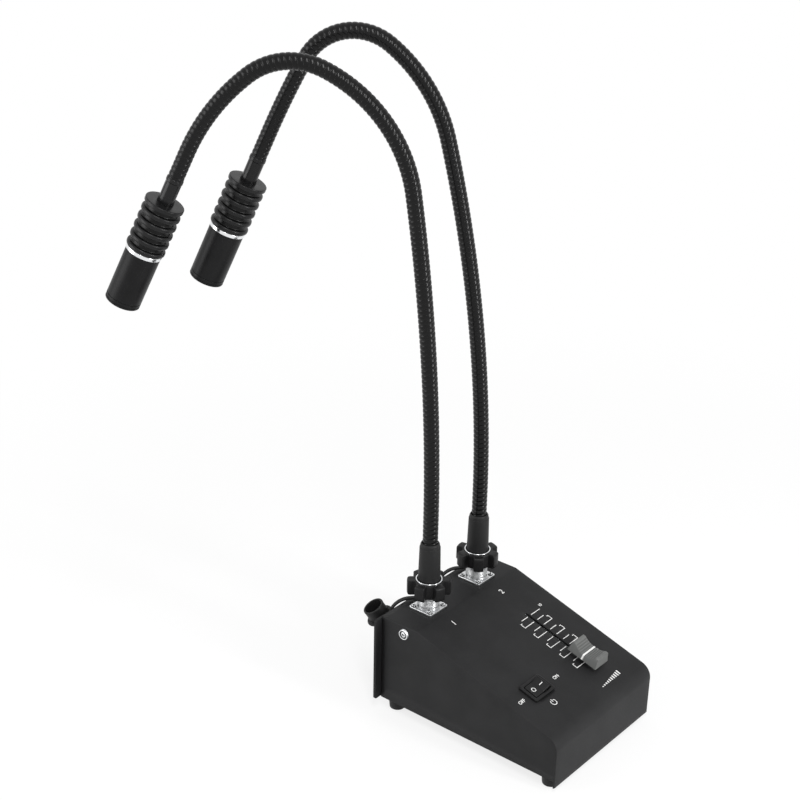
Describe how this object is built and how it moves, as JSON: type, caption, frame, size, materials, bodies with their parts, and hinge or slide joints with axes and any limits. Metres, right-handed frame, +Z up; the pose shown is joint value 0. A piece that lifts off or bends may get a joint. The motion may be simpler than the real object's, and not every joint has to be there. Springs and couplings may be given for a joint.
{
  "type": "dual gooseneck spot illuminator",
  "caption": "Bench illuminator with a sloped sheet-metal housing, brightness fader, power rocker and plug-in gooseneck lamps with finned heads",
  "frame": {"origin": "on the floor under the middle of the housing", "axes": "+Z up, the operator's side and fader slope face -Y, +X to the operator's right"},
  "size_m": [0.2041, 0.3014, 0.4436],
  "materials": {
    "body_paint": "fine textured black powder coat",
    "panel_paint": "black powder coat",
    "bright_metal": "nickel-plated, bright",
    "zinc_steel": "zinc-plated steel",
    "foot_rubber": "matte black rubber",
    "cap_grey": "mid grey moulded plastic",
    "black_plastic": "satin black moulded plastic",
    "neck_black": "semi-gloss black wound metal hose",
    "head_black": "satin black anodised",
    "board_green": "solder-masked circuit board",
    "components": "electronic parts",
    "contact_brass": "bare contact metal",
    "lens_clear": "clear moulded optic",
    "led_board": "white-masked metal-core board"
  },
  "bodies": {
    "housing": {"top_cover": "body_paint", "base_plate": "panel_paint", "rear_panel": "panel_paint", "rear_screws": "zinc_steel", "rubber_feet": "foot_rubber", "cover_screws": "bright_metal", "cup_washers": "bright_metal", "slide_pot_body": "zinc_steel", "pot_nuts": "zinc_steel", "switch_housing": "black_plastic", "switch_terminals": "contact_brass", "driver_board": "board_green", "board_standoffs": "zinc_steel", "board_components": "components", "dc_inlet": "black_plastic", "dc_inlet_nut": "zinc_steel", "flange_screws": "bright_metal", "flange_nuts": "zinc_steel", "socket_left": "bright_metal", "socket_insert_left": "black_plastic", "plug_shell_left": "zinc_steel", "boot_left": "foot_rubber", "neck_root_left": "neck_black", "socket_right": "bright_metal", "socket_insert_right": "black_plastic", "plug_shell_right": "zinc_steel", "boot_right": "foot_rubber", "neck_root_right": "neck_black"},
    "fader": {"slide_pot_lever": "black_plastic", "fader_cap": "cap_grey"},
    "rocker": {"switch_rocker": "black_plastic"},
    "ring_left": {"coupling_ring_left": "black_plastic", "ring_rim_left": "bright_metal"},
    "cap_left": {"dust_cap_left": "foot_rubber", "cap_strap_left": "foot_rubber"},
    "neck_1_left": {"neck_link_1_left": "neck_black"},
    "neck_2_left": {"neck_link_2_left": "neck_black"},
    "neck_3_left": {"neck_link_3_left": "neck_black"},
    "neck_4_left": {"neck_link_4_left": "neck_black"},
    "head_left": {"neck_tip_left": "neck_black", "heat_sink_left": "head_black", "trim_ring_left": "bright_metal", "lens_barrel_left": "head_black", "lens_left": "lens_clear", "led_board_left": "led_board"},
    "ring_right": {"coupling_ring_right": "black_plastic", "ring_rim_right": "bright_metal"},
    "cap_right": {"dust_cap_right": "foot_rubber", "cap_strap_right": "foot_rubber"},
    "neck_1_right": {"neck_link_1_right": "neck_black"},
    "neck_2_right": {"neck_link_2_right": "neck_black"},
    "neck_3_right": {"neck_link_3_right": "neck_black"},
    "neck_4_right": {"neck_link_4_right": "neck_black"},
    "head_right": {"neck_tip_right": "neck_black", "heat_sink_right": "head_black", "trim_ring_right": "bright_metal", "lens_barrel_right": "head_black", "lens_right": "lens_clear", "led_board_right": "led_board"}
  },
  "joints": [
    {"name": "fader_slide", "type": "slide", "parent": "housing", "child": "fader", "axis": [0, 0.9569, 0.2905], "range_m": [0, 0.0485]},
    {"name": "rocker_tilt", "type": "hinge", "parent": "housing", "child": "rocker", "pos_m": [-0.0279, -0.03504, 0.0472], "axis": [0, 0.9569, 0.2905], "range_deg": [0, 22]},
    {"name": "ring_turn_left", "type": "hinge", "parent": "housing", "child": "ring_left", "pos_m": [-0.0264, 0.0545, 0.0835], "axis": [0, 0, 1], "continuous": true},
    {"name": "strap_swivel_left", "type": "hinge", "parent": "housing", "child": "cap_left", "pos_m": [-0.0195, 0.0614, 0.0736], "axis": [0, 0, 1], "range_deg": [-30, 0]},
    {"name": "neck_bend_1_left", "type": "hinge", "parent": "housing", "child": "neck_1_left", "pos_m": [-0.02671, 0.05499, 0.1776], "axis": [-0.8434, -0.5373, 0], "range_deg": [-30, 30]},
    {"name": "neck_sway_2_left", "type": "hinge", "parent": "neck_1_left", "child": "neck_2_left", "pos_m": [-0.02923, 0.05894, 0.26145], "axis": [-0.5354, 0.8405, -0.0834], "range_deg": [-30, 8]},
    {"name": "neck_bend_3_left", "type": "hinge", "parent": "neck_2_left", "child": "neck_3_left", "pos_m": [-0.03424, 0.06681, 0.34492], "axis": [-0.8434, -0.5373, 0], "range_deg": [-30, 30]},
    {"name": "neck_sway_4_left", "type": "hinge", "parent": "neck_3_left", "child": "neck_4_left", "pos_m": [-0.05536, 0.09996, 0.41619], "axis": [-0.3146, 0.4939, -0.8106], "range_deg": [-30, 8]},
    {"name": "neck_bend_5_left", "type": "hinge", "parent": "neck_4_left", "child": "head_left", "pos_m": [-0.09656, 0.16463, 0.40416], "axis": [-0.8434, -0.5373, 0], "range_deg": [-30, 30]},
    {"name": "ring_turn_right", "type": "hinge", "parent": "housing", "child": "ring_right", "pos_m": [0.0264, 0.0545, 0.0835], "axis": [0, 0, 1], "continuous": true},
    {"name": "strap_swivel_right", "type": "hinge", "parent": "housing", "child": "cap_right", "pos_m": [0.0333, 0.0614, 0.0736], "axis": [0, 0, 1], "range_deg": [-30, 0]},
    {"name": "neck_bend_1_right", "type": "hinge", "parent": "housing", "child": "neck_1_right", "pos_m": [0.02593, 0.05523, 0.17759], "axis": [-0.8425, -0.5388, 0], "range_deg": [-30, 30]},
    {"name": "neck_sway_2_right", "type": "hinge", "parent": "neck_1_right", "child": "neck_2_right", "pos_m": [0.0222, 0.06107, 0.26128], "axis": [-0.5346, 0.836, -0.1236], "range_deg": [-8, 30]},
    {"name": "neck_bend_3_right", "type": "hinge", "parent": "neck_2_right", "child": "neck_3_right", "pos_m": [0.01476, 0.07271, 0.34411], "axis": [-0.8425, -0.5388, 0], "range_deg": [-30, 30]},
    {"name": "neck_sway_4_right", "type": "hinge", "parent": "neck_3_right", "child": "neck_4_right", "pos_m": [-0.00228, 0.09934, 0.42053], "axis": [-0.3938, 0.6158, -0.6824], "range_deg": [-8, 30]},
    {"name": "neck_bend_5_right", "type": "hinge", "parent": "neck_4_right", "child": "head_right", "pos_m": [-0.03942, 0.15742, 0.40953], "axis": [-0.8425, -0.5388, 0], "range_deg": [-30, 30]}
  ]
}
